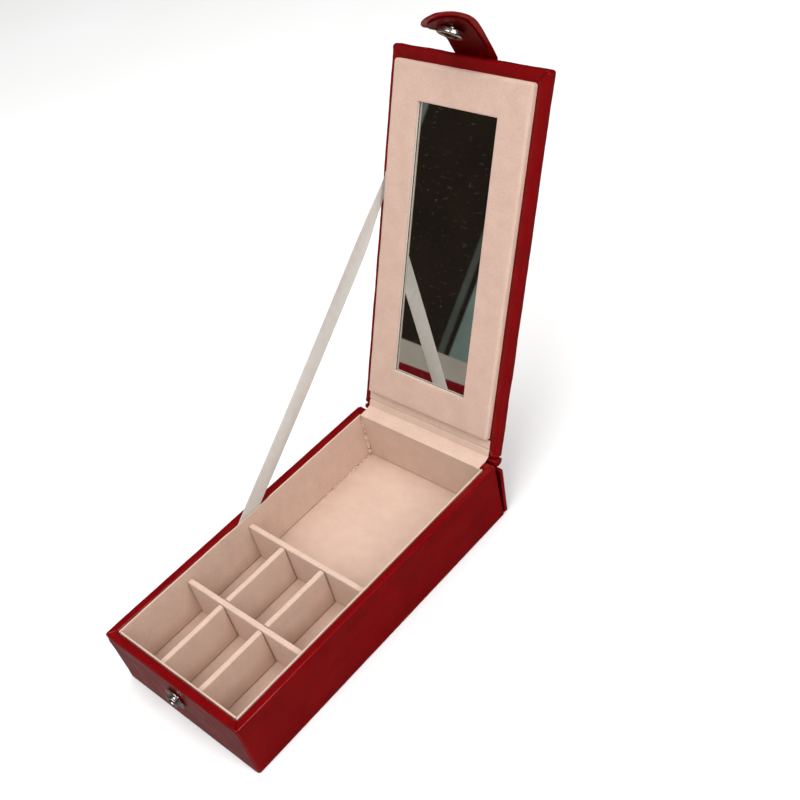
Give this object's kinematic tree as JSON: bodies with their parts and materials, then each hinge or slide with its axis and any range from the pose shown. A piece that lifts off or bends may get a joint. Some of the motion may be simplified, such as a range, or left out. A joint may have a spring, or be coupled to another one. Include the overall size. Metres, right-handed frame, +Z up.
{
  "type": "jewellery case",
  "caption": "Hinged leather jewellery case: divided velvet-lined tray, padded lid with an inset mirror, ribbon stay and snap strap.",
  "frame": {"origin": "centre of the tray's flat underside", "axes": "+X to the right side seen from the front, -Y to the front with the snap stud, +Y to the hinged back, +Z up"},
  "size_m": [0.098, 0.2769, 0.2358],
  "materials": {
    "greyboard": "grey board, uncoated",
    "red_leather": "deep red grained leather with a soft gloss",
    "velvet": "short-pile velvet",
    "foam": "thin wadding",
    "nickel": "nickel-plated",
    "mirror_glass": "silvered glass",
    "satin_ribbon": "woven satin"
  },
  "bodies": {
    "tray": {"base_cover": "red_leather", "bottom_board": "greyboard", "front_wall_board": "greyboard", "rear_wall_board": "greyboard", "left_wall_board": "greyboard", "right_wall_board": "greyboard", "tray_leather": "red_leather", "floor_lining": "velvet", "front_lining": "velvet", "rear_lining": "velvet", "left_lining": "velvet", "right_lining": "velvet", "rear_cross_divider": "velvet", "front_cross_divider": "velvet", "middle_left_divider": "velvet", "middle_right_divider": "velvet", "front_left_divider": "velvet", "front_right_divider": "velvet", "snap_stud": "nickel", "stud_rivet": "nickel", "ribbon_stay": "satin_ribbon", "hinge_lining": "velvet"},
    "lid": {"lid_board": "greyboard", "lid_foam": "foam", "lid_leather": "red_leather", "mirror_backing": "greyboard", "mirror_spacer": "greyboard", "mirror": "mirror_glass", "panel_card": "greyboard", "panel_velvet": "velvet", "strap_anchor": "red_leather"},
    "spine": {"spine_board": "greyboard", "spine_leather": "red_leather", "hinge_leather": "red_leather"},
    "strap": {"strap_leather": "red_leather", "strap_lining": "red_leather", "snap_socket": "nickel", "socket_spring": "nickel", "snap_cap": "nickel"}
  },
  "joints": [
    {"name": "lid_hinge", "type": "hinge", "parent": "tray", "child": "lid", "pos_m": [0, 0.096, 0.0372], "axis": [1, 0, 0], "range_deg": [0, 114.2], "deforming": ["ribbon_stay", "hinge_lining"]},
    {"name": "spine_hinge", "type": "hinge", "parent": "tray", "child": "spine", "pos_m": [0, 0.094, 0.001], "axis": [1, 0, 0], "range_deg": [0, 4.05]},
    {"name": "strap_hinge", "type": "hinge", "parent": "lid", "child": "strap", "pos_m": [0, 0.17816, 0.2088], "axis": [1, 0, 0], "range_deg": [-35, 18], "stiffness_Nm_per_rad": 0.02}
  ],
  "couplings": [
    {"joint": "spine_hinge", "follows": "lid_hinge", "ratio": 0.035026}
  ]
}
